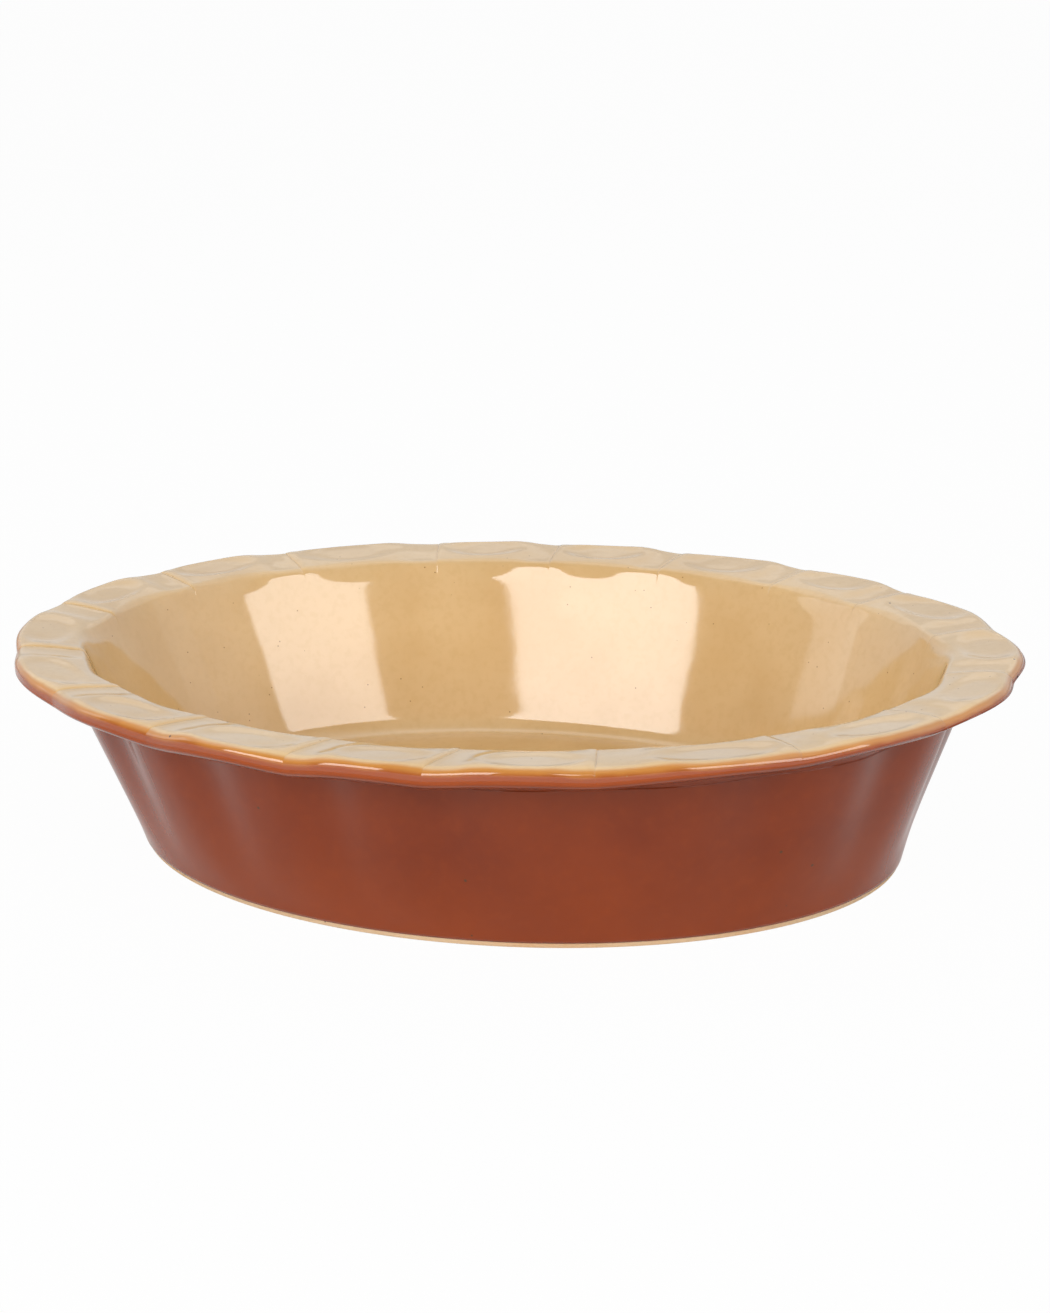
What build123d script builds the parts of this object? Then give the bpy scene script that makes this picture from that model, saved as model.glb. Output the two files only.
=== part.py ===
from build123d import *
import os
from math import cos, hypot, pi, sin

# Oval stoneware pie dish with a crimped rim, in millimetres.
# The long axis lies along X and +Z is up. The origin is the centre of the foot, on the table.
# The dish is one fired clay body under two glaze coats, and each coat is a thin solid of its own.

# Rim, measured over the crowns of its lobes
rim_length = 282.0
rim_width = 222.0
dish_height = 57.6
lobe_count = 18
rim_thickness = 5.9
edge_lower_round = 1.9
edge_upper_round = 1.9
rim_overhang = 15.0
cove_height = 6.6

# Top of the rim: it falls towards the lip, and a thumb has pressed a trough along it
flange_width = 19.0
flange_fall = 2.9
lip_round = 2.6
print_from_edge = 9.5
print_depth = 0.7
crease_width = 2.6
crease_depth = 0.9
crease_drop_at_edge = 1.3
crease_lean = 9.0

# Joints between lobes: how far they are drawn in at the rim's edge and down the flutes,
# and how far their creases run outward across the top of the rim
joint_notch = 2.0
flute_depth = 1.6
lip_crease = 1.9
print_crease = 4.5
edge_crease = 3.3

# Foot and floor
foot_length = 219.0
foot_width = 167.4
foot_chamfer_inset = 1.9
foot_chamfer_height = 4.6
foot_ring_width = 9.0
foot_recess = 1.0
smooth_band_height = 12.0
floor_thickness = 4.8
wall_thickness = 7.4
floor_corner = 3.0

# Glaze
coat = 0.5
bare_foot_height = 1.6
glaze_line_below_rim = 4.0

# One length for forms that must run past what they cut
overrun = 4.0

# How fine the lobes are drawn
facets_per_lobe = 5
perimeter_steps = 36000

rim_half_length = rim_length / 2
rim_half_width = rim_width / 2
foot_half_length = foot_length / 2
foot_half_width = foot_width / 2
rim_slope = flange_fall / flange_width
glaze_line = dish_height - glaze_line_below_rim


def facet_angles():
    """Ellipse angles that divide the rim's perimeter into equal facets, by adding up short chords."""
    angles = [2 * pi * step / perimeter_steps for step in range(perimeter_steps + 1)]
    lengths = [0]
    for before, after in zip(angles, angles[1:]):
        run = rim_half_length * (cos(after) - cos(before))
        rise = rim_half_width * (sin(after) - sin(before))
        lengths.append(lengths[-1] + hypot(run, rise))
    facet = lengths[-1] / (lobe_count * facets_per_lobe)
    return [angle for angle, before, after in zip(angles[1:], lengths, lengths[1:])
            if int(before / facet) < int(after / facet)] + [2 * pi]


angles = facet_angles()


def lobed_oval(half_length, half_width, dip):
    """Corners of an ellipse with lobes: every point moves in by dip times the square of its
    distance from the lobe's crown, which is 1 at the joints. A dip below zero moves joints out."""
    corners = []
    for index, angle in enumerate(angles[: lobe_count * facets_per_lobe], start=1):
        from_crown = 2 * (index % facets_per_lobe) / facets_per_lobe - 1
        inward = dip * from_crown**2
        normal_x = cos(angle) / half_length
        normal_y = sin(angle) / half_width
        size = hypot(normal_x, normal_y)
        x = half_length * cos(angle) - inward * normal_x / size
        y = half_width * sin(angle) - inward * normal_y / size
        corners.append((x, y))
    return corners


def lofted(levels):
    """A solid with straight sides from each lobed oval to the next, given as rows of half length,
    half width, dip and height."""
    with BuildPart() as form:
        for half_length, half_width, dip, height in levels:
            with BuildSketch(Plane.XY.offset(height)):
                with BuildLine():
                    Polyline(*lobed_oval(half_length, half_width, dip), close=True)
                make_face()
        loft(ruled=True)
    return form.part


def set_back(levels, depth):
    """The same profile moved by one depth square to its faces. What stands on the table stays on it."""
    normals = []
    for low, high in zip(levels, levels[1:]):
        across, up = high[0] - low[0], high[3] - low[3]
        normals.append((up / hypot(across, up), -across / hypot(across, up)))
    moved = []
    for index, (half_length, half_width, dip, height) in enumerate(levels):
        first_x, first_z = normals[max(index - 1, 0)]
        last_x, last_z = normals[min(index, len(normals) - 1)]
        spread = 1 + first_x * last_x + first_z * last_z
        inward = depth * (first_x + last_x) / spread
        downward = depth * (first_z + last_z) / spread
        if height == 0:
            inward, downward = depth, 0
        moved.append((half_length - inward, half_width - inward, dip, height - downward))
    return moved


def outside():
    """Outer profile from the table up to the rim's upper edge."""
    def rim(inset, dip, height):
        return (rim_half_length - inset, rim_half_width - inset, dip, height)

    def foot(inset, height):
        return (foot_half_length - inset, foot_half_width - inset, 0, height)

    edge_bottom = dish_height - rim_thickness
    cove_bottom = edge_bottom - cove_height
    wall_rise_share = (smooth_band_height - foot_chamfer_height) / (cove_bottom - foot_chamfer_height)
    band_length = foot_half_length + wall_rise_share * (rim_half_length - rim_overhang - foot_half_length)
    band_width = foot_half_width + wall_rise_share * (rim_half_width - rim_overhang - foot_half_width)
    return [
        foot(foot_chamfer_inset, 0),
        foot(0, foot_chamfer_height),
        (band_length, band_width, 0, smooth_band_height),
        rim(rim_overhang, flute_depth, cove_bottom),
        rim(edge_lower_round, joint_notch, edge_bottom),
        rim(0, joint_notch, edge_bottom + edge_lower_round),
        rim(0, joint_notch, dish_height - edge_upper_round),
        rim(edge_upper_round, joint_notch, dish_height),
    ]


def inside():
    """Hollow's profile from the floor up over the lip and across the rim's top, past its edge."""
    def rim(inset, dip, drop):
        return (rim_half_length - inset, rim_half_width - inset, dip, dish_height - drop)

    def floor(inset, rise):
        inset = inset + wall_thickness
        return (foot_half_length - inset, foot_half_width - inset, 0, floor_thickness + rise)

    return [
        floor(floor_corner, 0),
        floor(0, floor_corner),
        rim(flange_width + lip_round / 2, 0, flange_fall + lip_round),
        rim(flange_width, -lip_crease, flange_fall),
        rim(print_from_edge, -print_crease, rim_slope * print_from_edge + print_depth),
        rim(-overrun, -edge_crease, -rim_slope * overrun),
    ]


def crease_seats(depth):
    """Where each crease lies: along the sunken joint, running inward from past the rim's edge and
    leaning a little to one side, as the side of a thumb leaves it."""
    crease_slope = (flange_fall - crease_drop_at_edge) / flange_width
    seats = []
    for angle in angles[facets_per_lobe - 1::facets_per_lobe]:
        across_x = cos(angle) / rim_half_length
        across_y = sin(angle) / rim_half_width
        size = hypot(across_x, across_y)
        straight = Vector(-across_x / size, -across_y / size, -crease_slope)
        inward = straight.rotate(Axis.Z, crease_lean)
        edge_height = dish_height - crease_drop_at_edge - depth
        edge = Vector(rim_half_length * cos(angle), rim_half_width * sin(angle), edge_height)
        along_rim = Vector(0, 0, 1).cross(inward)
        seats.append(Plane(origin=edge - inward * overrun, x_dir=along_rim, z_dir=inward))
    return seats


# The edge of the tool that pressed the creases, drawn across its own length
with BuildPart() as crease_tool:
    with BuildSketch():
        with BuildLine():
            Polyline((-crease_width, crease_depth), (crease_width, crease_depth), (0, -crease_depth), close=True)
        make_face()
    extrude(amount=flange_width + 2 * overrun)


def dish_form(depth):
    """The whole dish, with every glazed surface set back by one depth."""
    with BuildPart() as form:
        add(lofted(set_back(outside(), depth)))
        add(lofted(set_back(inside(), -depth)), mode=Mode.SUBTRACT)
        with Locations(*crease_seats(depth)):
            add(crease_tool.part, mode=Mode.SUBTRACT)
        with BuildSketch(Plane.XY):
            Ellipse(foot_half_length - foot_ring_width, foot_half_width - foot_ring_width)
        extrude(amount=foot_recess, mode=Mode.SUBTRACT)
    return form.part


# Fired clay, from the foot ring to the rim
with BuildPart() as stoneware_body:
    add(dish_form(coat))

# Both coats together, before they are parted
with BuildPart() as both_coats:
    add(dish_form(0))
    add(stoneware_body.part, mode=Mode.SUBTRACT)

# What parts the two glazes: it runs up inside the clay wall and comes out through the rim's edge
with BuildPart() as inner_side:
    foot_inset = wall_thickness / 2
    lip_inset = rim_overhang + wall_thickness / 2
    edge_inset = flange_width / 2
    parting = [
        (foot_half_length - foot_inset, foot_half_width - foot_inset, floor_thickness / 2),
        (rim_half_length - lip_inset, rim_half_width - lip_inset, dish_height - rim_thickness - cove_height),
        (rim_half_length - edge_inset, rim_half_width - edge_inset, glaze_line),
    ]
    for half_length, half_width, height in parting:
        with BuildSketch(Plane.XY.offset(height)):
            Ellipse(half_length, half_width)
    loft(ruled=True)
    with BuildSketch(Plane.XY.offset(glaze_line)):
        Ellipse(rim_half_length + overrun, rim_half_width + overrun)
    extrude(amount=glaze_line_below_rim + overrun)

# Honey glaze on the floor, the inner wall and the top of the rim
with BuildPart() as inner_glaze:
    add(both_coats.part)
    add(inner_side.part, mode=Mode.INTERSECT)

# Russet glaze from the rim's edge down the outer wall to the bare foot
with BuildPart() as outer_glaze:
    add(both_coats.part)
    add(inner_side.part, mode=Mode.SUBTRACT)
    split(bisect_by=Plane.XY.offset(bare_foot_height), keep=Keep.TOP)

stoneware_body.part.label = "stoneware_body"
inner_glaze.part.label = "inner_glaze"
outer_glaze.part.label = "outer_glaze"

os.makedirs("parts", exist_ok=True)
export_step(stoneware_body.part, "parts/stoneware_body.step")
export_step(inner_glaze.part, "parts/inner_glaze.step")
export_step(outer_glaze.part, "parts/outer_glaze.step")
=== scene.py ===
from math import pi, radians

import bpy
import numpy as np
from mathutils import Matrix, Vector


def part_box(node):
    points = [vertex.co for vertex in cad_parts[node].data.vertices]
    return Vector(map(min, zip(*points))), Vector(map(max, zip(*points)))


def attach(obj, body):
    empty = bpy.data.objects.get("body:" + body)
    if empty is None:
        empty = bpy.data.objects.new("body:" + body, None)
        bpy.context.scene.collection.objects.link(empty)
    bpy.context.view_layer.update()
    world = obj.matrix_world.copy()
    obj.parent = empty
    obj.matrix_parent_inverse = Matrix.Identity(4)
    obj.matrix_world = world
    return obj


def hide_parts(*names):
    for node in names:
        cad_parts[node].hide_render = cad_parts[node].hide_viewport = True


bl_info = {
    "name": "Crimped Pie Dish",
    "version": (1, 0, 0),
    "blender": (4, 5, 0),
    "location": "3D View > Sidebar > Pie Dish",
    "description": "Dresses an oval stoneware pie dish with a thumb-crimped rim in its two glazes",
    "category": "Add Mesh",
}

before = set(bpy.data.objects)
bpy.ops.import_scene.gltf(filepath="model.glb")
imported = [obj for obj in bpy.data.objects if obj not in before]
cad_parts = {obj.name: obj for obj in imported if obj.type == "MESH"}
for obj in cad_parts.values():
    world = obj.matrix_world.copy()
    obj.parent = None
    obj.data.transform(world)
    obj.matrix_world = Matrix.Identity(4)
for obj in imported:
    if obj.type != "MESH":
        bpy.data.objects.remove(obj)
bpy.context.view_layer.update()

MM = 0.001
PER_METRE = 1000
BODY = "root"

# The object's own sizes, read from the frame: the rim's oval over its lobes' crowns, and its height.
# The long axis ends in two joints, so the oval reaches a little past the frame's box there.
NOTCHED_END = 1.2 * MM
LOW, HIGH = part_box("outer_glaze")
RIM_HALF_WIDTH = (HIGH[1] - LOW[1]) / 2
RIM_HALF_LENGTH = (HIGH[0] - LOW[0]) / 2 + NOTCHED_END
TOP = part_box("inner_glaze")[1][2]

# Lobes round the rim, columns of points in a lobe, and chords that the rim's length is added up from
LOBES = 18
COLUMNS_PER_LOBE = 32
RIM_CHORDS = 28000

# How the potter's hand strayed at each joint, as shares of a lobe, from the +X end round by +Y:
# first where the joint meets the rim's edge, then how far its crease leans on its way to the lip
STRAY_SHARES = (0, 0, 0.10, 0, 0, -0.05, -0.15, 0, 0, 0, 0.05, 0.10, 0.12, 0.10, -0.09, -0.15, 0, 0)
LEAN_SHARES = (0.02, 0.03, 0.05, 0.02, 0.04, 0.02, 0.06, 0.03, 0.04, 0.02, 0.05, 0.05, 0.06, 0.08, 0.15,
               0.07, 0.04, 0.03)

# The section's corners in millimetres. On the foot a pair is the distance inside the foot's oval and
# the height. On the rim it is the distance inside the rim's oval and the drop below its top.
FOOT_INSET = 31.5
FOOT_INSET_ACROSS = 27.3
GLAZE_LINE = (0.9, 1.6)
FOOT_KNUCKLE = (0.1, 4.4)
WALL_START = (-2.6, 12.0)
WALL_END = (15.7, 13.2)
PARTING_DROP = 3.6
EDGE_ROUND = 1.7
FLANGE_START = (EDGE_ROUND, 0.15)
PRINT_START = (5.0, 0.1)
FLOOR_HEIGHT = 4.8
FLOOR_CORNER = (9.7, FLOOR_HEIGHT)

# The corners under the rim's edge are measured from the edge's lower side, the print's end is a share of
# the flange, and the lip's lower end is measured from the lip
COVE = (14.2, 2.8)
EDGE_UNDERSIDE = (2.6, 0.5)
EDGE_LOWER_ROUND = 1.3
PRINT_END_SHARES = (0.62, 0.4)
LIP_STEP = (2.3, 4.4)

# The bare foot under the glaze: its ring, and a shallow recess inside it
RECESS_EDGE = (10.2, 1.0)
RING_INNER = (9.0, 0.0)
RING_OUTER = (1.7, 0.0)
RING_TOP = (1.3, 1.0)

# Rounds of those corners in millimetres, the rows that each round is drawn with, and the widest gap
# between rows. The floor's rows end close to its middle, and the seam's extra rows lie close to it.
OUTER_ROUNDS, OUTER_STEPS = (2, 10, 6, 4, 2.2, 1.9), (6, 8, 12, 14, 10, 8)
INNER_ROUNDS, INNER_STEPS = (0.8, 1.5, 1.5, 4, 2.2, 3, 6.5), (5, 7, 4, 6, 10, 6, 14)
FOOT_ROUNDS, FOOT_STEPS = (1, 0.8, 0.5), (5, 5, 6)
OUTER_ROW_GAP, INNER_ROW_GAP, FOOT_ROW_GAP = 1.4 * MM, 1.3 * MM, 4 * MM
FLOOR_ROWS, FLOOR_CROWDING = 24, 0.9
POLE = 1e-6
SEAM_ROW_SHARE = 0.04

# The glaze's hidden side takes every third row, and the clay every second
HIDDEN_GLAZE_STEP, CLAY_STEP = 3, 2

# Room between glaze and clay, so that the two never show through each other
GLAZE_CLEARANCE = 0.05 * MM

# The share of the flange from which the millimetres round the rim's edge are counted
FLANGE_ENTRY = 0.06

# How the hand shaped a lobe, in millimetres
VALLEY_DEPTH = 0.55
LEDGE_HEIGHT = 0.3
LIP_WAVE = 0.9
JOINT_SAG = 1.4

# Where it did, as shares of the lobe's length from one joint to the next: the print's middle, which is
# the same share of the flange's width, its half length, the valley's two sides, the ledge and the crease
PRINT_MIDDLE, PRINT_HALF_LENGTH = 0.40, 0.36
VALLEY_NEAR_SIDE, VALLEY_FAR_SIDE = (0.70, 0.84), (0.95, 1.0)
LEDGE_END = 0.10
CREASE_HALF_WIDTH = 0.05

# Where it did across the flange, as shares of its width: the print's half width, where the valley and
# the crease fade out, and where the lip's wave fades in
PRINT_HALF_WIDTH = 0.46
VALLEY_FADE, CREASE_FADE, LIP_FADE = (0.8, 1.15), (1.0, 1.2), (0.7, 1.0)

# How sharp those forms are: powers of the flute, of the notch's corner and of the crease, the corner's
# share of the notch, the slope at the print's side, and the phase of the lip's wave
FLUTE_POWER, CORNER_POWER, CREASE_POWER = 1.4, 2.2, 1.8
CORNER_SHARE = 0.3
PRINT_SIDE = 0.75
LIP_PHASE = 0.6

# How much of the joints' sag is left at the back of the dish, and how much of it on the wall
SAG_BACK_SHARE, SAG_WALL_SHARE = 0.35, 0.5

# How much the hand's work changes, in waves round the rim and by steps from lobe to lobe
HAND_SHARE, HAND_WAVES, HAND_PHASE, HAND_STEP = 0.25, 5, 0.9, 1.7
PRINT_WIDTH_CHANGE, PRINT_WIDTH_STEP = 0.06, 2.1

# How the rim warped in drying, in millimetres: it rises to the right and sinks to the left at the front,
# its right end is up all round, and the underside there more so; the wall leans a little
RISE_RIGHT, SINK_LEFT = 1.3, 2.0
END_LIFT = 1.25
UNDERSIDE_LIFT = 2.2
LEAN_AT_TABLE, LEAN_CHANGE = 0.8, 2.1

# Where the warp fades in: towards the front, from a share of the dish's height up, towards the right
# end, and for the underside between two drops from the rim's top in millimetres
FRONT_FADE, RISING_START = (-0.3, 0.6), 0.6
END_FADE, UNDERSIDE_END_FADE = (0.7, 1.0), (0.3, 1.0)
UNDERSIDE_DROPS = (2, 5)

# The stage: its lengths are in metres, but the camera's target and its sensor are in millimetres
LARGE_LAMP, NARROW_LAMP, REAR_LAMP = (0.95, 0.78), (0.4, 0.78), (2.4, 1.6)
LAMP_DISTANCE = 1.4
LAMP_TARGET_HEIGHT = 0.03
LAMP_ELEVATION = radians(24)
REAR_ELEVATION = radians(55)
FLOOR_GAP = 0.08 * MM
PAPER_GLOW = 0.97
SWEEP_POINTS = 41
SWEEP_HALF_WIDTH = 4
SWEEP_FRONT, SWEEP_FLAT_LENGTH, SWEEP_RADIUS, SWEEP_WALL = -3, 4.6, 1.2, 2.0
SWEEP_FLAT_SHARE, SWEEP_BEND_SHARE = 0.55, 0.3
CAMERA_TARGET = (-2.1, 18.5, 45.6)
SENSOR_HEIGHT = 36
PHOTO_HEIGHT_PX = 1313


class PIEDISH_PG_sizes(bpy.types.PropertyGroup):
    """Sizes of the dish's clay and rim."""

    rim_thickness: bpy.props.FloatProperty(
        name="Rim Thickness", description="Height of the rim's edge at a lobe's crown",
        default=6.1 * MM, min=1 * MM, unit="LENGTH", precision=5)
    flange_width: bpy.props.FloatProperty(
        name="Flange Width", description="From the rim's edge to the lip of the bowl",
        default=19.5 * MM, min=5 * MM, unit="LENGTH", precision=5)
    flange_fall: bpy.props.FloatProperty(
        name="Flange Fall", description="How far the flange drops from its edge to the lip",
        default=2.3 * MM, min=0, unit="LENGTH", precision=5)
    joint_notch: bpy.props.FloatProperty(
        name="Joint Notch", description="How far the rim's edge is drawn in at a joint",
        default=1.7 * MM, min=0, unit="LENGTH", precision=5)
    flute_depth: bpy.props.FloatProperty(
        name="Flute Depth", description="How far the outer wall is drawn in between two flutes",
        default=3.1 * MM, min=0, unit="LENGTH", precision=5)
    print_depth: bpy.props.FloatProperty(
        name="Thumb Print Depth", description="Depth of the shallow dish that a thumb left in each lobe",
        default=0.85 * MM, min=0, unit="LENGTH", precision=5)
    crease_depth: bpy.props.FloatProperty(
        name="Crease Depth", description="Depth of the sharp crease between two thumb prints",
        default=0.5 * MM, min=0, unit="LENGTH", precision=5)
    coat: bpy.props.FloatProperty(
        name="Glaze Coat", description="Thickness of the glaze",
        default=0.45 * MM, min=0.05 * MM, unit="LENGTH", precision=5)


class PIEDISH_PG_glaze(bpy.types.PropertyGroup):
    """Colours of the fired clay and the two glazes, as sRGB hex."""

    honey: bpy.props.StringProperty(
        name="Honey Glaze", description="Inside colour", default="#E8C48E")
    honey_deep: bpy.props.StringProperty(
        name="Honey, Deep", description="Inside colour where the glaze pools", default="#D6AD70")
    amber: bpy.props.StringProperty(
        name="Amber Edge", description="Where the glaze thins at the rim's edge", default="#D18C40")
    orange: bpy.props.StringProperty(
        name="Orange Break", description="Where russet glaze thins below the edge", default="#A1460F")
    russet: bpy.props.StringProperty(
        name="Russet Glaze", description="Outside colour", default="#873712")
    russet_deep: bpy.props.StringProperty(
        name="Russet, Deep", description="Outside colour where the glaze is thick", default="#6B250B")
    speck: bpy.props.StringProperty(
        name="Iron Speck", description="Specks of iron that burn through the glaze", default="#5A3A20")
    fleck: bpy.props.StringProperty(
        name="Faint Fleck", description="Smaller flecks that the glaze half covers", default="#A97C48")
    clay: bpy.props.StringProperty(
        name="Bare Clay", description="Unglazed stoneware at the foot", default="#E3C6A2")


class PIEDISH_PG_stage(bpy.types.PropertyGroup):
    """Camera and lamps."""

    azimuth: bpy.props.FloatProperty(
        name="Azimuth", description="The camera's turn round the dish from its front",
        default=radians(19.6), unit="ROTATION")
    elevation: bpy.props.FloatProperty(
        name="Elevation", description="The camera's angle above the table",
        default=radians(16.28), unit="ROTATION")
    roll: bpy.props.FloatProperty(
        name="Roll", description="The camera's small tilt", default=radians(-1.05), unit="ROTATION")
    distance: bpy.props.FloatProperty(
        name="Distance", description="From the camera to its target", default=0.70, min=0.1, unit="LENGTH")
    focal_px: bpy.props.FloatProperty(
        name="Focal Length", description="Focal length in pixels of the photograph", default=2467.0)
    left_azimuth: bpy.props.FloatProperty(
        name="Left Softbox Turn", description="The left softbox's turn round the dish from its front",
        default=radians(-20.5), unit="ROTATION")
    right_azimuth: bpy.props.FloatProperty(
        name="Right Softbox Turn", description="The right softbox's turn round the dish from its front",
        default=radians(58), unit="ROTATION")
    left_power: bpy.props.FloatProperty(
        name="Left Softbox Power", description="Power of the left softbox in watts", default=11.0, min=0)
    right_power: bpy.props.FloatProperty(
        name="Right Softbox Power", description="Power of the right softbox in watts", default=8.4, min=0)
    strip_turn: bpy.props.FloatProperty(
        name="Strip Turn", description="How far each strip lamp stands round the dish from the camera",
        default=radians(100), unit="ROTATION")
    left_strip_power: bpy.props.FloatProperty(
        name="Left Strip Power", description="Power of the left strip lamp in watts", default=0.9, min=0)
    right_strip_power: bpy.props.FloatProperty(
        name="Right Strip Power", description="Power of the right strip lamp in watts", default=0.2, min=0)
    rear_power: bpy.props.FloatProperty(
        name="Rear Softbox Power", description="Power of the high softbox behind the dish in watts",
        default=5.0, min=0)
    sky: bpy.props.FloatProperty(
        name="Surround", description="Light that the studio round the dish gives off", default=0.2, min=0)


def rim_angle(lobes):
    """The ellipse angle at a place round the rim that is given in lobes of equal length. The length is
    the running sum of short chords, and the angle is read back from it."""
    fine = np.linspace(-pi / 2, 3 * pi, RIM_CHORDS + 1)
    x, y = RIM_HALF_LENGTH * np.cos(fine), RIM_HALF_WIDTH * np.sin(fine)
    run = np.concatenate([[0], np.cumsum(np.hypot(np.diff(x), np.diff(y)))])
    start, end = np.interp([0, 2 * pi], fine, run)
    return np.interp(start + np.asarray(lobes) / LOBES * (end - start), run, fine)


def columns():
    """Place round the rim, lean, place in its lobe and lobe of each column. Within a lobe the
    columns crowd towards the joints as a cosine does: place = (1 - cos(pi * share)) / 2."""
    place = (1 - np.cos(pi * np.arange(COLUMNS_PER_LOBE) / COLUMNS_PER_LOBE)) / 2
    lobe = np.arange(LOBES)[:, None]
    stray, lean = (np.array(shares)[:, None] for shares in (STRAY_SHARES, LEAN_SHARES))
    start = lobe + stray
    end = lobe + 1 + np.roll(stray, -1)
    round_rim = start + (end - start) * place
    leaning = lean + (np.roll(lean, -1) - lean) * place
    numbers = np.repeat(np.arange(LOBES), COLUMNS_PER_LOBE)
    return round_rim.ravel(), leaning.ravel(), np.tile(place, LOBES), numbers


def rounded(points, rounds, steps):
    """A profile with its corners rounded. Each corner becomes a quadratic curve whose ends lie the
    round's millimetres away from it along its two sides, or half the side if that is less. Every
    column of the table is blended alike."""
    points = np.asarray(points, float)
    rows = [points[:1]]
    for before, corner, after, radius, count in zip(points, points[1:], points[2:], rounds, steps):
        back, ahead = before - corner, after - corner
        start = corner + back * min(radius * MM / np.linalg.norm(back[:3]), 0.5)
        end = corner + ahead * min(radius * MM / np.linalg.norm(ahead[:3]), 0.5)
        t = np.linspace(0, 1, count)[:, None]
        rows.append((1 - t) ** 2 * start + 2 * t * (1 - t) * corner + t**2 * end)
    rows.append(points[-1:])
    return np.concatenate(rows)


def refined(rows, gap):
    """Adds even points so that no two neighbours lie further apart than the gap."""
    pieces = []
    for low, high in zip(rows, rows[1:]):
        count = max(1, int(np.ceil(np.linalg.norm((high - low)[:3]) / gap)))
        pieces.append(low + (high - low) * (np.arange(count) / count)[:, None])
    return np.concatenate(pieces + [rows[-1:]])


# Columns of a profile table: half length, half width, height, share of the rim's notch,
# share of the flute, share of the flange's print, and place across the flange from edge to lip
HALF_LENGTH, HALF_WIDTH, HEIGHT, NOTCH, FLUTE, PRINT, ACROSS = range(7)


def rim_row(inset, drop, notch=1.0, flute=0.0, pressed=0.0, across=0.0):
    """A row measured inward from the rim's oval and down from its top, in millimetres."""
    return [RIM_HALF_LENGTH - inset * MM, RIM_HALF_WIDTH - inset * MM, TOP - drop * MM,
            notch, flute, pressed, across]


def foot_row(inset, height, flute=0.0):
    """A row measured inward from the foot's oval and up from the table, in millimetres."""
    return [RIM_HALF_LENGTH - (FOOT_INSET + inset) * MM, RIM_HALF_WIDTH - (FOOT_INSET_ACROSS + inset) * MM,
            height * MM, 0.0, flute, 0.0, 0.0]


def middle_row(height):
    """A row at the middle of the dish, in millimetres above the table."""
    return [POLE, POLE, height * MM, 0, 0, 0, 0]


def profile(sizes):
    """The dish's section from the bare foot's top, up the outer wall, over the rim and down to the
    middle of the floor, and the index of the row where the two glazes meet on the rim's edge. An extra
    row lies close to that one on either side, so that its shading doesn't bend there."""
    thick = sizes.rim_thickness / MM
    wide = sizes.flange_width / MM
    fall = sizes.flange_fall / MM
    outer = rounded([
        foot_row(*GLAZE_LINE), foot_row(*FOOT_KNUCKLE), foot_row(*WALL_START, flute=0.25),
        rim_row(*WALL_END, notch=0.0, flute=1.0),
        rim_row(COVE[0], thick + COVE[1], notch=0.2, flute=0.8),
        rim_row(EDGE_UNDERSIDE[0], thick + EDGE_UNDERSIDE[1]),
        rim_row(0.0, thick - EDGE_LOWER_ROUND), rim_row(0.0, PARTING_DROP),
    ], OUTER_ROUNDS, OUTER_STEPS)
    outer = refined(outer, OUTER_ROW_GAP)
    outer = np.insert(outer, -1, outer[-1] + (outer[-2] - outer[-1]) * SEAM_ROW_SHARE, axis=0)
    inner = rounded([
        rim_row(0.0, PARTING_DROP), rim_row(0.0, EDGE_ROUND, pressed=0.1),
        rim_row(*FLANGE_START, pressed=0.5, across=0.07),
        rim_row(*PRINT_START, notch=0.8, pressed=1.0, across=0.25),
        rim_row(wide * PRINT_END_SHARES[0], fall * PRINT_END_SHARES[1], notch=0.4, pressed=1.0,
                across=PRINT_END_SHARES[0]),
        rim_row(wide, fall, notch=0.0, pressed=0.7, across=1.0),
        rim_row(wide + LIP_STEP[0], fall + LIP_STEP[1], notch=0.0, across=1.2),
        foot_row(*FLOOR_CORNER), middle_row(FLOOR_HEIGHT),
    ], INNER_ROUNDS, INNER_STEPS)
    fine = refined(inner[:-1], INNER_ROW_GAP)
    fine = np.insert(fine, 1, fine[0] + (fine[1] - fine[0]) * SEAM_ROW_SHARE, axis=0)
    floor = inner[-2] + (inner[-1] - inner[-2]) * (np.linspace(0, 1, FLOOR_ROWS)[1:, None] ** FLOOR_CROWDING)
    return np.concatenate([outer, fine[1:], floor]), len(outer) - 1


def smooth(low, high, value):
    """0 below low, 1 above high, and a smooth cubic step between."""
    t = np.clip((value - low) / (high - low), 0, 1)
    return t * t * (3 - 2 * t)


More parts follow.
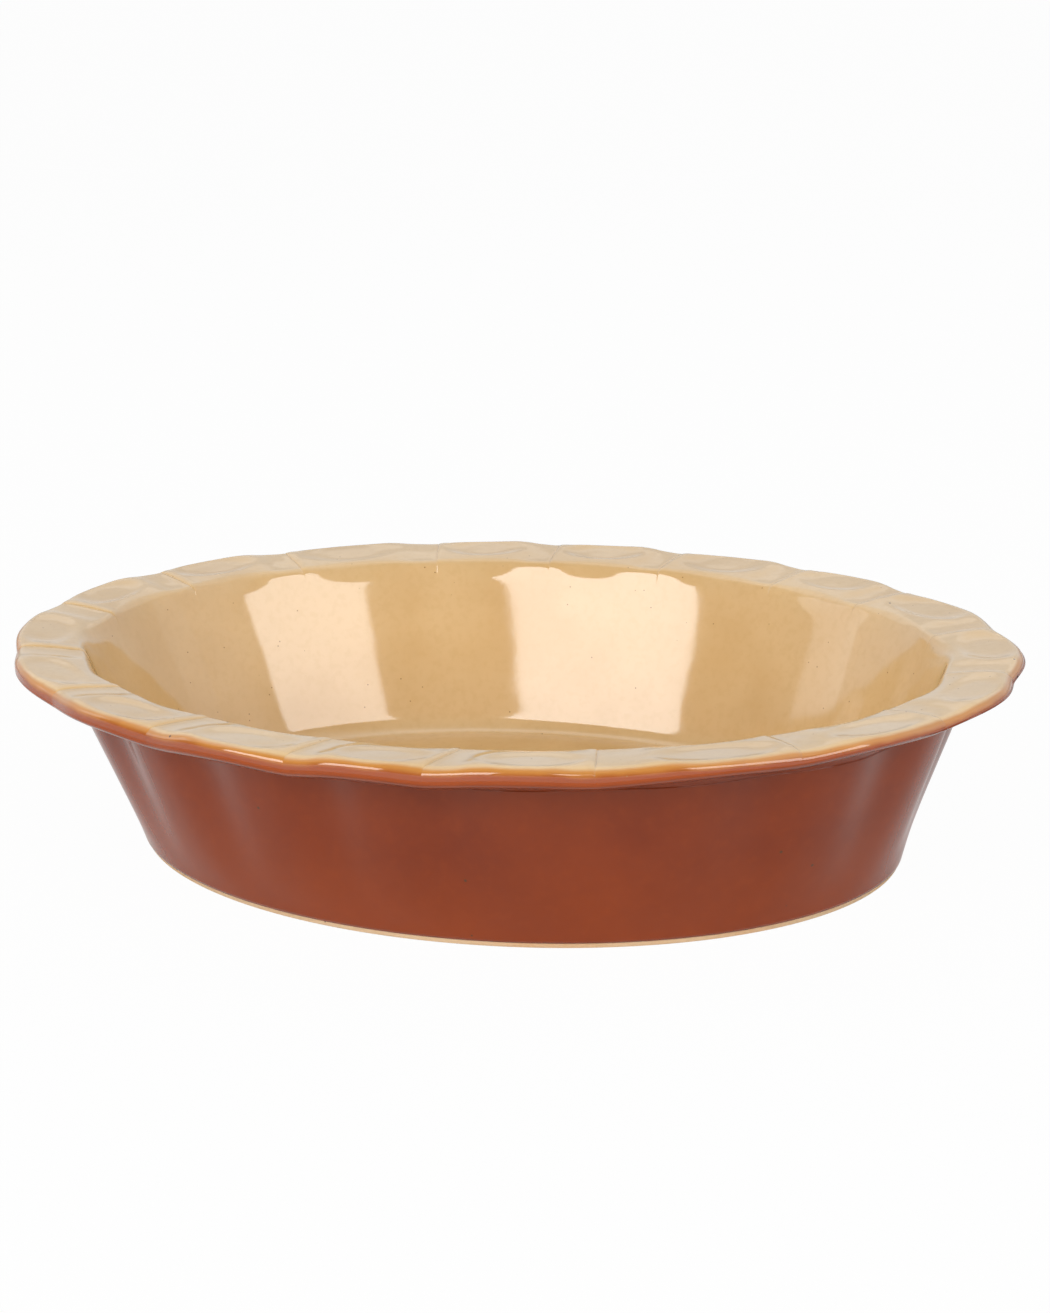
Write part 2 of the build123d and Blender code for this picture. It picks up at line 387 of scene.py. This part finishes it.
def surface(rows, sizes):
    """Points of the dish on a grid of rows by columns. A point starts on the row's ellipse. It moves
    inward along the ellipse's normal by the notch and flute, deepest at the joints, and down by the
    thumb print: a shallow dish on three quarters of the lobe, then a narrow valley and a crease.
    Last it moves with the warp of the rim, by smooth steps of its place round the dish and its height."""
    round_rim, leaning, place, lobe = columns()
    turn = 1 - place
    row = rows[:, :, None]
    angle = rim_angle(round_rim + leaning * np.clip(row[:, ACROSS], 0, 1))
    cos, sin = np.cos(angle), np.sin(angle)
    normal_x, normal_y = cos / row[:, HALF_LENGTH], sin / row[:, HALF_WIDTH]
    size = np.hypot(normal_x, normal_y)

    # How deep a joint is drawn in: a soft wave down the wall, with a sharper corner on the rim's edge
    from_crown = np.abs(2 * place - 1)
    soft = (0.5 + 0.5 * np.cos(2 * pi * place)) ** FLUTE_POWER
    sharp = CORNER_SHARE * from_crown ** CORNER_POWER + (1 - CORNER_SHARE) * soft
    drawn_in = 1 + HAND_SHARE * np.sin(2 * pi * HAND_WAVES * round_rim / LOBES + HAND_PHASE)
    inward = sizes.joint_notch * row[:, NOTCH] * sharp * drawn_in + sizes.flute_depth * row[:, FLUTE] * soft

    # What the thumb left on the flange
    hand = 1 + HAND_SHARE * np.sin(lobe * HAND_STEP + HAND_PHASE)
    across = row[:, ACROSS] + 0 * turn
    print_width = PRINT_HALF_WIDTH + PRINT_WIDTH_CHANGE * np.cos(lobe * PRINT_WIDTH_STEP)
    along_share = (turn - PRINT_MIDDLE) / PRINT_HALF_LENGTH
    across_share = (across - PRINT_MIDDLE) / print_width
    dish = smooth(0.0, PRINT_SIDE, 1 - along_share ** 2 - across_share ** 2)
    valley = smooth(*VALLEY_NEAR_SIDE, turn) * (1 - smooth(*VALLEY_FAR_SIDE, turn))
    valley = valley * (1 - smooth(*VALLEY_FADE, across))
    ledge = 1 - smooth(0.0, LEDGE_END, turn)
    gap = np.minimum(turn, 1 - turn)
    crease = np.clip(1 - gap / CREASE_HALF_WIDTH, 0, 1) ** CREASE_POWER
    down = (sizes.print_depth * hand * dish + VALLEY_DEPTH * MM * valley - LEDGE_HEIGHT * MM * ledge
            + sizes.crease_depth * crease * (1 - smooth(*CREASE_FADE, across))) * row[:, PRINT]
    sag = JOINT_SAG * MM * sharp * (SAG_BACK_SHARE + (1 - SAG_BACK_SHARE) * smooth(0.0, 1.0, -sin))
    down = down + sag * np.clip(row[:, NOTCH] + SAG_WALL_SHARE * row[:, FLUTE], 0, 1)
    lip_wave = LIP_WAVE * MM * row[:, PRINT] * smooth(*LIP_FADE, across) * np.cos(2 * pi * turn + LIP_PHASE)

    # How the rim warped in drying
    front = smooth(*FRONT_FADE, -sin)
    rising = smooth(RISING_START * TOP, TOP, row[:, HEIGHT])
    upper, lower = (TOP - drop * MM for drop in UNDERSIDE_DROPS)
    under = smooth(upper, lower, row[:, HEIGHT]) * np.clip(row[:, NOTCH], 0, 1)
    tilt = np.where(cos > 0, RISE_RIGHT, SINK_LEFT) * MM * cos * front * rising
    tilt = np.maximum(tilt, END_LIFT * MM * smooth(*END_FADE, cos) * rising)
    tilt = tilt + UNDERSIDE_LIFT * MM * smooth(*UNDERSIDE_END_FADE, cos) * under
    lean = (LEAN_AT_TABLE - LEAN_CHANGE * row[:, HEIGHT] / TOP) * MM

    points = np.empty((*angle.shape, 3))
    points[..., 0] = row[:, HALF_LENGTH] * cos - (inward + lip_wave) * normal_x / size + lean
    points[..., 1] = row[:, HALF_WIDTH] * sin - (inward + lip_wave) * normal_y / size
    points[..., 2] = row[:, HEIGHT] - down + tilt
    return points


def normals(points):
    """Unit normals of a grid that closes round its columns: cross product of its two differences."""
    along = np.gradient(points, axis=0)
    around = np.roll(points, -1, 1) - np.roll(points, 1, 1)
    normal = np.cross(around, along)
    return normal / np.maximum(np.linalg.norm(normal, axis=2, keepdims=True), 1e-12)


def add_grid(name, rings, attributes, pole_start=False, pole_end=False, loop=False):
    """A closed mesh from rings of points. Quads join each ring to the next. A pole closes the first
    or last ring with a fan to its mean point, and loop joins the last ring back to the first."""
    count, around = rings.shape[:2]
    index = np.arange(count * around).reshape(count, around)
    below, above = (index, np.roll(index, -1, 0)) if loop else (index[:-1], index[1:])
    quads = np.stack([below, np.roll(below, -1, 1), np.roll(above, -1, 1), above], -1).reshape(-1, 4)
    points = rings.reshape(-1, 3)
    faces = quads.tolist()
    extra = {key: list(value.ravel()) for key, value in attributes.items()}
    for wanted, ring, flip in ((pole_start, index[0], True), (pole_end, index[-1], False)):
        if wanted:
            centre = len(points)
            points = np.vstack([points, points[ring].mean(0)])
            fan = np.stack([ring, np.roll(ring, -1), np.full(around, centre)], -1)
            faces += (fan[:, ::-1] if flip else fan).tolist()
            for values in extra.values():
                values.append(values[ring[0]])
    mesh = bpy.data.meshes.new(name)
    mesh.from_pydata(points.tolist(), [], faces)
    mesh.validate()
    for key, values in extra.items():
        mesh.attributes.new(key, "FLOAT", "POINT").data.foreach_set("value", np.asarray(values, np.float32))
    mesh.polygons.foreach_set("use_smooth", np.ones(len(mesh.polygons), bool))
    mesh.update()
    piece = bpy.data.objects.new(name, mesh)
    bpy.context.scene.collection.objects.link(piece)
    return piece


def linear(hexed):
    """sRGB hex to linear RGBA."""
    value = np.array([int(hexed[i:i + 2], 16) for i in (1, 3, 5)]) / 255
    curve = np.where(value <= 0.04045, value / 12.92, ((value + 0.055) / 1.055) ** 2.4)
    return (*curve.tolist(), 1.0)


# Sockets of the colour mix node, which share their names with its sockets for numbers
MIX_SHARE, MIX_FIRST, MIX_SECOND, MIX_RESULT = 0, 6, 7, 2


def node(tree, kind, inputs=None, **settings):
    """Adds a node and sets its properties. Each input takes a value or another node's socket."""
    made = tree.nodes.new(kind)
    for key, value in settings.items():
        setattr(made, key, value)
    for key, value in (inputs or {}).items():
        if isinstance(value, bpy.types.NodeSocket):
            tree.links.new(value, made.inputs[key])
        else:
            made.inputs[key].default_value = value
    return made


def new_material(name):
    """An empty material and its node tree."""
    made = bpy.data.materials.new(name)
    made.use_nodes = True
    made.node_tree.nodes.clear()
    return made, made.node_tree


def laid_over(tree, colour, over, mask, low, high, first=0.0, last=1.0):
    """Lays one colour over another: by the first share where the mask is below low, by the last share
    where it is above high, and by a smooth step between."""
    share = node(tree, "ShaderNodeMapRange",
                 {"Value": mask, "From Min": low, "From Max": high, "To Min": first, "To Max": last},
                 interpolation_type="SMOOTHSTEP")
    return node(tree, "ShaderNodeMix",
                {MIX_SHARE: share.outputs["Result"], MIX_FIRST: colour, MIX_SECOND: over},
                data_type="RGBA").outputs[MIX_RESULT]


def specked(tree, colour, over, where, spacing_mm, size_share, kept_share):
    """Lays round dots of one colour over another: a dot sits at the point of a cell, in the share of
    cells whose random colour passes."""
    cells = node(tree, "ShaderNodeTexVoronoi", {"Vector": where, "Scale": PER_METRE / spacing_mm})
    near = node(tree, "ShaderNodeMapRange",
                {"Value": cells.outputs["Distance"], "From Min": size_share * 0.6, "From Max": size_share,
                 "To Min": 1.0, "To Max": 0.0}, interpolation_type="SMOOTHSTEP")
    parts = node(tree, "ShaderNodeSeparateColor", {"Color": cells.outputs["Color"]})
    chosen = node(tree, "ShaderNodeMath", {0: parts.outputs["Red"], 1: kept_share}, operation="LESS_THAN")
    both = node(tree, "ShaderNodeMath", {0: near.outputs["Result"], 1: chosen.outputs[0]},
                operation="MULTIPLY")
    return node(tree, "ShaderNodeMix", {MIX_SHARE: both.outputs[0], MIX_FIRST: colour, MIX_SECOND: over},
                data_type="RGBA").outputs[MIX_RESULT]


def wandering_edge(tree, where):
    """Millimetres round the rim's edge, as the edge attribute holds them, moved by up to half a
    millimetre either way over 14 mm of rim, so that the boundary of the two glazes wanders."""
    drift_mm, reach_mm = 14, 0.5
    edge = node(tree, "ShaderNodeAttribute", attribute_name="edge").outputs["Fac"]
    drift = node(tree, "ShaderNodeTexNoise", {"Vector": where, "Scale": PER_METRE / drift_mm, "Detail": 2.0})
    moved = node(tree, "ShaderNodeMapRange",
                 {"Value": drift.outputs["Fac"], "From Min": 0.2, "From Max": 0.8,
                  "To Min": -reach_mm, "To Max": reach_mm}, interpolation_type="SMOOTHSTEP")
    return node(tree, "ShaderNodeMath", {0: edge, 1: moved.outputs["Result"]}, operation="ADD").outputs[0]


def glaze_bump(tree, where, peel_mm, peel_height_mm, roll_mm, roll_height_mm):
    """Fired glaze settles in a fine orange peel over slow rolls of the clay below. The real peel is
    finer still: it is drawn as coarse as it needs to show."""
    fine = node(tree, "ShaderNodeTexNoise", {"Vector": where, "Scale": PER_METRE / peel_mm, "Detail": 2.0})
    slow = node(tree, "ShaderNodeTexNoise", {"Vector": where, "Scale": PER_METRE / roll_mm, "Detail": 1.0})
    rolls = node(tree, "ShaderNodeBump",
                 {"Height": slow.outputs["Fac"], "Strength": 1.0, "Distance": roll_height_mm * MM})
    return node(tree, "ShaderNodeBump",
                {"Height": fine.outputs["Fac"], "Normal": rolls.outputs[0], "Strength": 1.0,
                 "Distance": peel_height_mm * MM}).outputs[0]


def finish(tree, colour, bump, roughness, ior):
    """Ends a material's tree in one shader with constant gloss."""
    shader = node(tree, "ShaderNodeBsdfPrincipled",
                  {"Base Color": colour, "Normal": bump, "Roughness": roughness, "IOR": ior})
    node(tree, "ShaderNodeOutputMaterial", {"Surface": shader.outputs[0]})


def honey_glaze(colours):
    """Clear honey glaze over buff stoneware, dipped and fired: glossy, warm, with a few iron specks.
    Clouds 45 mm wide are where it pooled, and a mottle of 2.2 mm is the clay's grain under it. It turns
    amber and orange where it thins round the rim's edge. Its IOR starts at a glaze's 1.5 and is raised
    to match the strong reflections on the back wall."""
    made, tree = new_material("honey glaze over buff stoneware")
    where = node(tree, "ShaderNodeTexCoord").outputs["Object"]
    cloud_mm, mottle_mm = 45, 2.2
    cloud = node(tree, "ShaderNodeTexNoise",
                 {"Vector": where, "Scale": PER_METRE / cloud_mm, "Detail": 3.0}).outputs["Fac"]
    mottle = node(tree, "ShaderNodeTexNoise",
                  {"Vector": where, "Scale": PER_METRE / mottle_mm, "Detail": 3.0}).outputs["Fac"]
    honey, deep = linear(colours.honey), linear(colours.honey_deep)
    colour = laid_over(tree, honey, deep, cloud, low=0.35, high=0.7, last=0.6)
    colour = laid_over(tree, colour, deep, mottle, low=0.42, high=0.72, last=0.22)
    edge = wandering_edge(tree, where)
    colour = laid_over(tree, colour, linear(colours.amber), edge, low=-0.4, high=1.2)
    colour = laid_over(tree, colour, linear(colours.orange), edge, low=1.2, high=3.4)
    colour = laid_over(tree, colour, linear(colours.russet), edge, low=4.0, high=7.0)
    colour = specked(tree, colour, linear(colours.speck), where,
                     spacing_mm=9.0, size_share=0.05, kept_share=0.30)
    colour = specked(tree, colour, linear(colours.fleck), where,
                     spacing_mm=3.0, size_share=0.09, kept_share=0.22)
    bump = glaze_bump(tree, where, peel_mm=1.6, peel_height_mm=0.006, roll_mm=16, roll_height_mm=0.10)
    finish(tree, colour, bump, roughness=0.08, ior=1.75)
    return made


def russet_glaze(colours):
    """Iron-rich russet glaze, dipped and fired: glossy and deep. Clouds 30 mm wide and streaks of
    3.5 mm are where it ran thick and thin. It breaks orange round the rim's edge, and it turns faintly
    more orange towards the foot by height alone. Its IOR starts at a glaze's 1.5 and is lowered to match the
    calm outer wall."""
    made, tree = new_material("iron russet glaze")
    where = node(tree, "ShaderNodeTexCoord").outputs["Object"]
    height = node(tree, "ShaderNodeSeparateXYZ", {"Vector": where}).outputs["Z"]
    cloud_mm, streak_mm = 30, 3.5
    cloud = node(tree, "ShaderNodeTexNoise",
                 {"Vector": where, "Scale": PER_METRE / cloud_mm, "Detail": 4.0}).outputs["Fac"]
    streak = node(tree, "ShaderNodeTexNoise",
                  {"Vector": where, "Scale": PER_METRE / streak_mm, "Detail": 3.0}).outputs["Fac"]
    russet, deep, orange = linear(colours.russet), linear(colours.russet_deep), linear(colours.orange)
    colour = laid_over(tree, russet, deep, cloud, low=0.35, high=0.75, last=0.5)
    colour = laid_over(tree, colour, orange, streak, low=0.45, high=0.8, last=0.12)
    # A faint orange laid on by height alone, strongest towards the foot
    colour = laid_over(tree, colour, orange, height, low=34 * MM, high=4 * MM, last=0.4)
    edge = wandering_edge(tree, where)
    colour = laid_over(tree, colour, orange, edge, low=4.0, high=7.0, first=1.0, last=0.0)
    colour = specked(tree, colour, linear(colours.speck), where,
                     spacing_mm=6.0, size_share=0.08, kept_share=0.12)
    bump = glaze_bump(tree, where, peel_mm=2.2, peel_height_mm=0.010, roll_mm=22, roll_height_mm=0.16)
    finish(tree, colour, bump, roughness=0.10, ior=1.42)
    return made


def bare_clay(colours):
    """Bare fired buff stoneware: dry and slightly sandy, wiped clean at the foot. Its sand is 0.8 mm
    grit and its stains are 30 mm wide."""
    made, tree = new_material("bare fired stoneware")
    where = node(tree, "ShaderNodeTexCoord").outputs["Object"]
    grit_mm, stain_mm, grit_height_mm = 0.8, 30, 0.05
    grain = node(tree, "ShaderNodeTexNoise",
                 {"Vector": where, "Scale": PER_METRE / grit_mm, "Detail": 4.0}).outputs["Fac"]
    stain = node(tree, "ShaderNodeTexNoise",
                 {"Vector": where, "Scale": PER_METRE / stain_mm, "Detail": 2.0}).outputs["Fac"]
    clay, deep = linear(colours.clay), linear(colours.honey_deep)
    colour = laid_over(tree, clay, deep, grain, low=0.3, high=0.8, last=0.35)
    colour = laid_over(tree, colour, linear(colours.amber), stain, low=0.4, high=0.8, last=0.3)
    colour = specked(tree, colour, linear(colours.speck), where,
                     spacing_mm=2.5, size_share=0.1, kept_share=0.15)
    bump = node(tree, "ShaderNodeBump", {"Height": grain, "Strength": 1.0, "Distance": grit_height_mm * MM})
    finish(tree, colour, bump.outputs[0], roughness=0.8, ior=1.5)
    return made


def hand_over(piece, material, cad_node):
    """Gives a piece its material and its body, and hides the CAD node that it stands for."""
    piece.data.materials.append(material)
    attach(piece, BODY)
    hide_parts(cad_node)


def built(context):
    """The whole skin of the dish: its points, outward normals, millimetres round the rim's edge, and the
    row where the two glazes part. The millimetres are the section's running length, counted from where
    the flange starts."""
    sizes = context.scene.pie_dish_sizes
    rows, parting = profile(sizes)
    points = surface(rows, sizes)
    step = np.linalg.norm(np.diff(rows[:, :3], axis=0), axis=1)
    run = np.concatenate([[0], np.cumsum(step)])
    start = run[np.argmax(rows[:, ACROSS] > FLANGE_ENTRY)]
    edge = np.repeat(((start - run) / MM)[:, None], points.shape[1], 1)
    return points, normals(points), edge, parting


class PIEDISH_OT_inner_glaze(bpy.types.Operator):
    """Adds the honey glaze on the floor, the inner wall and the thumb-pressed rim"""
    bl_idname = "pie_dish.inner_glaze"
    bl_label = "Inner Glaze"

    def execute(self, context):
        points, outward, edge, parting = built(context)
        coat = context.scene.pie_dish_sizes.coat
        top, under = points[parting:], (points - coat * outward)[parting:]
        rings = np.concatenate([under[::-1][1:-1:HIDDEN_GLAZE_STEP], under[:1], top])
        edge = edge[parting:]
        label = np.concatenate([edge[::-1][1:-1:HIDDEN_GLAZE_STEP], edge[:1], edge])
        piece = add_grid("honey_glaze_skin", rings, {"edge": label}, pole_start=True, pole_end=True)
        hand_over(piece, honey_glaze(context.scene.pie_dish_glaze), "inner_glaze")
        return {"FINISHED"}


class PIEDISH_OT_outer_glaze(bpy.types.Operator):
    """Adds the russet glaze from the rim's edge down the flutes to the bare foot"""
    bl_idname = "pie_dish.outer_glaze"
    bl_label = "Outer Glaze"

    def execute(self, context):
        points, outward, edge, parting = built(context)
        coat = context.scene.pie_dish_sizes.coat
        skin, under = points[:parting + 1], (points - coat * outward)[:parting + 1]
        rings = np.concatenate([skin, under[-1:], under[::-1][2:-2:HIDDEN_GLAZE_STEP], under[:1]])
        edge = edge[:parting + 1]
        label = np.concatenate([edge, edge[-1:], edge[::-1][2:-2:HIDDEN_GLAZE_STEP], edge[:1]])
        piece = add_grid("russet_glaze_skin", rings, {"edge": label}, loop=True)
        hand_over(piece, russet_glaze(context.scene.pie_dish_glaze), "outer_glaze")
        return {"FINISHED"}


class PIEDISH_OT_body(bpy.types.Operator):
    """Adds the fired clay under the glazes, with its bare foot ring"""
    bl_idname = "pie_dish.body"
    bl_label = "Fired Clay"

    def execute(self, context):
        points, outward = built(context)[:2]
        sizes = context.scene.pie_dish_sizes
        inside = points - (sizes.coat + GLAZE_CLEARANCE) * outward
        bottom = rounded([
            middle_row(RECESS_EDGE[1]), foot_row(*RECESS_EDGE), foot_row(*RING_INNER),
            foot_row(*RING_OUTER), foot_row(*RING_TOP),
        ], FOOT_ROUNDS, FOOT_STEPS)
        foot = surface(refined(bottom, FOOT_ROW_GAP), sizes)
        rings = np.concatenate([foot, inside[::CLAY_STEP], inside[-1:]])
        piece = add_grid("fired_clay", rings, {}, pole_start=True, pole_end=True)
        hand_over(piece, bare_clay(context.scene.pie_dish_glaze), "stoneware_body")
        return {"FINISHED"}


class PIEDISH_OT_stage(bpy.types.Operator):
    """Adds the pale floor, the softboxes, the surround and the camera"""
    bl_idname = "pie_dish.stage"
    bl_label = "Stage"

    def execute(self, context):
        stage = context.scene.pie_dish_stage
        self.floor()
        self.surround(context, stage.sky)
        self.camera(context, stage)
        left_turn = stage.azimuth - stage.strip_turn
        right_turn = stage.azimuth + stage.strip_turn
        rear_turn = stage.azimuth + pi
        for name, azimuth, elevation, size, power in (
                ("left softbox", stage.left_azimuth, LAMP_ELEVATION, LARGE_LAMP, stage.left_power),
                ("right softbox", stage.right_azimuth, LAMP_ELEVATION, LARGE_LAMP, stage.right_power),
                ("left strip", left_turn, LAMP_ELEVATION, NARROW_LAMP, stage.left_strip_power),
                ("right strip", right_turn, LAMP_ELEVATION, NARROW_LAMP, stage.right_strip_power),
                ("rear softbox", rear_turn, REAR_ELEVATION, REAR_LAMP, stage.rear_power)):
            self.softbox(name, azimuth, elevation, size, power)
        context.scene.view_settings.view_transform = "Standard"
        return {"FINISHED"}

    def outward(self, azimuth, elevation):
        """The direction from the dish to a thing that stands round it by azimuth and up by elevation."""
        return Vector((np.sin(azimuth) * np.cos(elevation), -np.cos(azimuth) * np.cos(elevation),
                       np.sin(elevation)))

    def softbox(self, name, azimuth, elevation, size, power):
        """A rectangular lamp on a sphere round the dish that looks at it."""
        out = self.outward(azimuth, elevation)
        lamp = bpy.data.lights.new(name, "AREA")
        lamp.shape = "RECTANGLE"
        lamp.size, lamp.size_y = size
        lamp.energy = power
        held = bpy.data.objects.new(name, lamp)
        held.location = out * LAMP_DISTANCE + Vector((0, 0, LAMP_TARGET_HEIGHT))
        held.rotation_euler = out.to_track_quat("Z", "Y").to_euler()
        bpy.context.scene.collection.objects.link(held)

    def floor(self):
        """A pale sweep: flat under the dish, curving up behind it. The curve is a quarter circle.
        It lies a hair below the foot, so that the two faces don't share a plane."""
        x = np.linspace(-SWEEP_HALF_WIDTH, SWEEP_HALF_WIDTH, SWEEP_POINTS)
        t = np.linspace(0, 1, SWEEP_POINTS)
        bend_end = SWEEP_FLAT_SHARE + SWEEP_BEND_SHARE
        bend = np.clip((t - SWEEP_FLAT_SHARE) / SWEEP_BEND_SHARE, 0, 1) * pi / 2
        flat_end = SWEEP_FRONT + SWEEP_FLAT_LENGTH
        y = np.where(t < SWEEP_FLAT_SHARE, SWEEP_FRONT + t / SWEEP_FLAT_SHARE * SWEEP_FLAT_LENGTH,
                     flat_end + SWEEP_RADIUS * np.sin(bend))
        z = np.where(t < bend_end, SWEEP_RADIUS * (1 - np.cos(bend)),
                     SWEEP_RADIUS + (t - bend_end) / (1 - bend_end) * SWEEP_WALL)
        points = np.stack([np.repeat(x[None], SWEEP_POINTS, 0), np.repeat(y[:, None], SWEEP_POINTS, 1),
                           np.repeat(z[:, None] - FLOOR_GAP, SWEEP_POINTS, 1)], -1)
        index = np.arange(SWEEP_POINTS ** 2).reshape(SWEEP_POINTS, SWEEP_POINTS)
        quads = np.stack([index[:-1, :-1], index[:-1, 1:], index[1:, 1:], index[1:, :-1]], -1)
        mesh = bpy.data.meshes.new("studio_floor")
        mesh.from_pydata(points.reshape(-1, 3).tolist(), [], quads.reshape(-1, 4).tolist())
        mesh.materials.append(self.paper())
        floor = bpy.data.objects.new("studio_floor", mesh)
        bpy.context.scene.collection.objects.link(floor)

    def paper(self):
        """White paper. The camera sees it almost at full white, so that only a faint shadow of the dish
        stays. Glossy glaze sees it dimmer near the table and at full white where it curves up."""
        made, tree = new_material("white paper sweep")
        path = node(tree, "ShaderNodeLightPath")
        place = node(tree, "ShaderNodeTexCoord").outputs["Object"]
        height = node(tree, "ShaderNodeSeparateXYZ", {"Vector": place}).outputs["Z"]
        rise = node(tree, "ShaderNodeMapRange",
                    {"Value": height, "From Min": 0.0, "From Max": 0.3, "To Min": 0.35, "To Max": 1.0},
                    interpolation_type="SMOOTHSTEP")
        mirrored = node(tree, "ShaderNodeMath", {0: path.outputs["Is Glossy Ray"], 1: rise.outputs["Result"]},
                        operation="MULTIPLY")
        seen = node(tree, "ShaderNodeMath", {0: path.outputs["Is Camera Ray"], 1: mirrored.outputs[0]},
                    operation="MAXIMUM")
        share = node(tree, "ShaderNodeMath", {0: seen.outputs[0], 1: PAPER_GLOW}, operation="MULTIPLY")
        paper = node(tree, "ShaderNodeBsdfDiffuse", {"Color": linear("#F4F4F2")})
        glow = node(tree, "ShaderNodeEmission", {"Color": (1, 1, 1, 1), "Strength": 1.0})
        both = node(tree, "ShaderNodeMixShader",
                    {0: share.outputs[0], 1: paper.outputs[0], 2: glow.outputs[0]})
        node(tree, "ShaderNodeOutputMaterial", {"Surface": both.outputs[0]})
        return made

    def surround(self, context, strength):
        """The studio round the dish: white for the camera, and for the glaze white behind the dish and
        dim in front of it. Its own light on the dish is the strength."""
        world = bpy.data.worlds.new("studio")
        context.scene.world = world
        world.use_nodes = True
        tree = world.node_tree
        tree.nodes.clear()
        path = node(tree, "ShaderNodeLightPath")
        way = node(tree, "ShaderNodeTexCoord").outputs["Generated"]
        ahead = node(tree, "ShaderNodeSeparateXYZ", {"Vector": way}).outputs["Y"]
        rear = node(tree, "ShaderNodeMapRange",
                    {"Value": ahead, "From Min": -0.45, "From Max": 0.15, "To Min": 0.0, "To Max": 1.0},
                    interpolation_type="SMOOTHSTEP")
        mirrored = node(tree, "ShaderNodeMath", {0: path.outputs["Is Glossy Ray"], 1: rear.outputs["Result"]},
                        operation="MULTIPLY")
        white = node(tree, "ShaderNodeMath", {0: path.outputs["Is Camera Ray"], 1: mirrored.outputs[0]},
                     operation="MAXIMUM")
        level = node(tree, "ShaderNodeMapRange",
                     {"Value": white.outputs[0], "From Min": 0.0, "From Max": 1.0, "To Min": strength,
                      "To Max": 1.0}, interpolation_type="SMOOTHSTEP")
        back = node(tree, "ShaderNodeBackground",
                    {"Strength": level.outputs["Result"], "Color": (1, 1, 1, 1)})
        node(tree, "ShaderNodeOutputWorld", {"Surface": back.outputs[0]})

    def camera(self, context, stage):
        """A camera on a sphere round its target, turned by azimuth, elevation and roll."""
        eye = self.outward(stage.azimuth, stage.elevation)
        lens = bpy.data.cameras.new("photograph view")
        lens.sensor_fit = "VERTICAL"
        lens.sensor_height = SENSOR_HEIGHT
        lens.lens = stage.focal_px / PHOTO_HEIGHT_PX * SENSOR_HEIGHT
        lens.clip_start = 0.01
        seat = bpy.data.objects.new("photograph view", lens)
        facing = eye.to_track_quat("Z", "Y").to_matrix().to_4x4()
        roll = Matrix.Rotation(stage.roll, 4, "Z")
        place = Vector(CAMERA_TARGET) * MM + eye * stage.distance
        seat.matrix_world = Matrix.Translation(place) @ facing @ roll
        context.scene.collection.objects.link(seat)
        context.scene.camera = seat


class PIEDISH_PT_panel(bpy.types.Panel):
    """Lists the dish's pieces and sizes in the sidebar"""
    bl_label = "Pie Dish"
    bl_idname = "PIEDISH_PT_panel"
    bl_space_type = "VIEW_3D"
    bl_region_type = "UI"
    bl_category = "Pie Dish"

    def draw(self, context):
        scene = context.scene
        for group in (scene.pie_dish_sizes, scene.pie_dish_glaze, scene.pie_dish_stage):
            box = self.layout.box()
            for key in group.bl_rna.properties.keys():
                if key not in {"rna_type", "name"}:
                    box.prop(group, key)
        for operator in OPERATORS:
            self.layout.operator(operator.bl_idname)


GROUPS = {"pie_dish_sizes": PIEDISH_PG_sizes, "pie_dish_glaze": PIEDISH_PG_glaze,
          "pie_dish_stage": PIEDISH_PG_stage}
OPERATORS = (PIEDISH_OT_inner_glaze, PIEDISH_OT_outer_glaze, PIEDISH_OT_body, PIEDISH_OT_stage)


def register():
    for group in GROUPS.values():
        bpy.utils.register_class(group)
    for kind in (*OPERATORS, PIEDISH_PT_panel):
        bpy.utils.register_class(kind)
    for key, group in GROUPS.items():
        setattr(bpy.types.Scene, key, bpy.props.PointerProperty(type=group))


def unregister():
    for key in GROUPS:
        delattr(bpy.types.Scene, key)
    for kind in (PIEDISH_PT_panel, *reversed(OPERATORS), *GROUPS.values()):
        bpy.utils.unregister_class(kind)


def main():
    register()
    bpy.ops.pie_dish.body()
    bpy.ops.pie_dish.inner_glaze()
    bpy.ops.pie_dish.outer_glaze()
    bpy.ops.pie_dish.stage()


if __name__ == "__main__":
    main()
